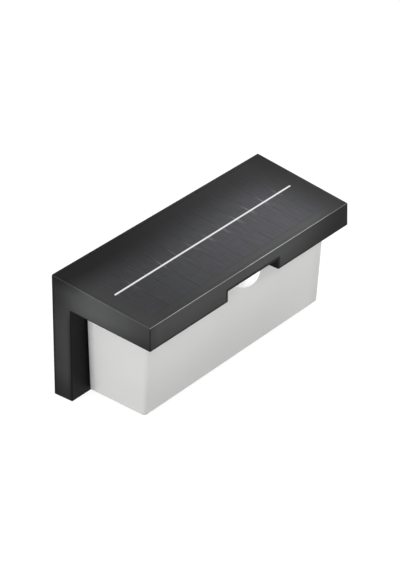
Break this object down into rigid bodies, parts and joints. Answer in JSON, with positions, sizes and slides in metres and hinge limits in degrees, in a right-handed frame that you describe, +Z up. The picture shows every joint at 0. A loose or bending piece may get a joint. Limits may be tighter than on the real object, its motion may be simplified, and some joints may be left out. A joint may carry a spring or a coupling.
{
  "type": "solar wall light",
  "caption": "Solar fence light: a dark L-shaped housing with a sloping solar panel on top, a milky box diffuser below and a motion sensor dome in a notch of its lip.",
  "frame": {"origin": "midway between the two keyholes in the back face, in the plane of the wall", "axes": "+X to the right seen from the front, -Y out of the front, +Z up; the wall is the plane Y = 0"},
  "size_m": [0.2124, 0.08, 0.09],
  "materials": {
    "dark_plastic": "fine moulded texture, satin",
    "solar_laminate": "matte laminate over dark cells",
    "silicon": "dark blue silicon",
    "silver_ribbon": "tinned ribbon",
    "board_black": "black laminate",
    "seal_rubber": "soft silicone",
    "opal_plastic": "milky satin",
    "screw_steel": "zinc plated",
    "white_plastic": "smooth white",
    "board_white": "white solder mask",
    "led_white": "moulded LED package",
    "dome_white": "white polyethylene",
    "board_green": "green solder mask",
    "can_metal": "nickel plated",
    "lead_red": "vinyl insulation",
    "chip_black": "epoxy package",
    "socket_white": "nylon",
    "button_rubber": "soft touch",
    "switch_black": "moulded",
    "tray_black": "moulded",
    "cell_wrap": "shrink sleeve"
  },
  "bodies": {
    "light": {"housing": "dark_plastic", "back_cover": "dark_plastic", "panel_cover": "solar_laminate", "solar_cells": "silicon", "busbar": "silver_ribbon", "panel_board": "board_black", "panel_seal": "seal_rubber", "diffuser": "opal_plastic", "diffuser_gasket": "seal_rubber", "diffuser_screws": "screw_steel", "reflector": "white_plastic", "led_board": "board_white", "leds": "led_white", "led_screws": "screw_steel", "sensor_dome": "dome_white", "dome_ring": "white_plastic", "sensor_board": "board_green", "sensor_can": "can_metal", "sensor_screws": "screw_steel", "sensor_leads": "lead_red", "control_board": "board_green", "board_components": "chip_black", "board_screws": "screw_steel", "sockets": "socket_white", "button_seal": "seal_rubber", "mode_switch": "switch_black", "battery_tray": "tray_black", "battery_cells": "cell_wrap", "battery_contacts": "can_metal", "battery_leads": "lead_red", "solar_leads": "lead_red", "led_leads": "lead_red", "back_gasket": "seal_rubber", "cover_screws": "screw_steel"},
    "button": {"mode_button": "button_rubber", "switch_plunger": "switch_black"}
  },
  "joints": [
    {"name": "mode_button_press", "type": "slide", "parent": "light", "child": "button", "axis": [0, 0, 1], "range_m": [0, 0.0009], "stiffness_N_per_m": 600, "springref_m": -0.0006}
  ]
}
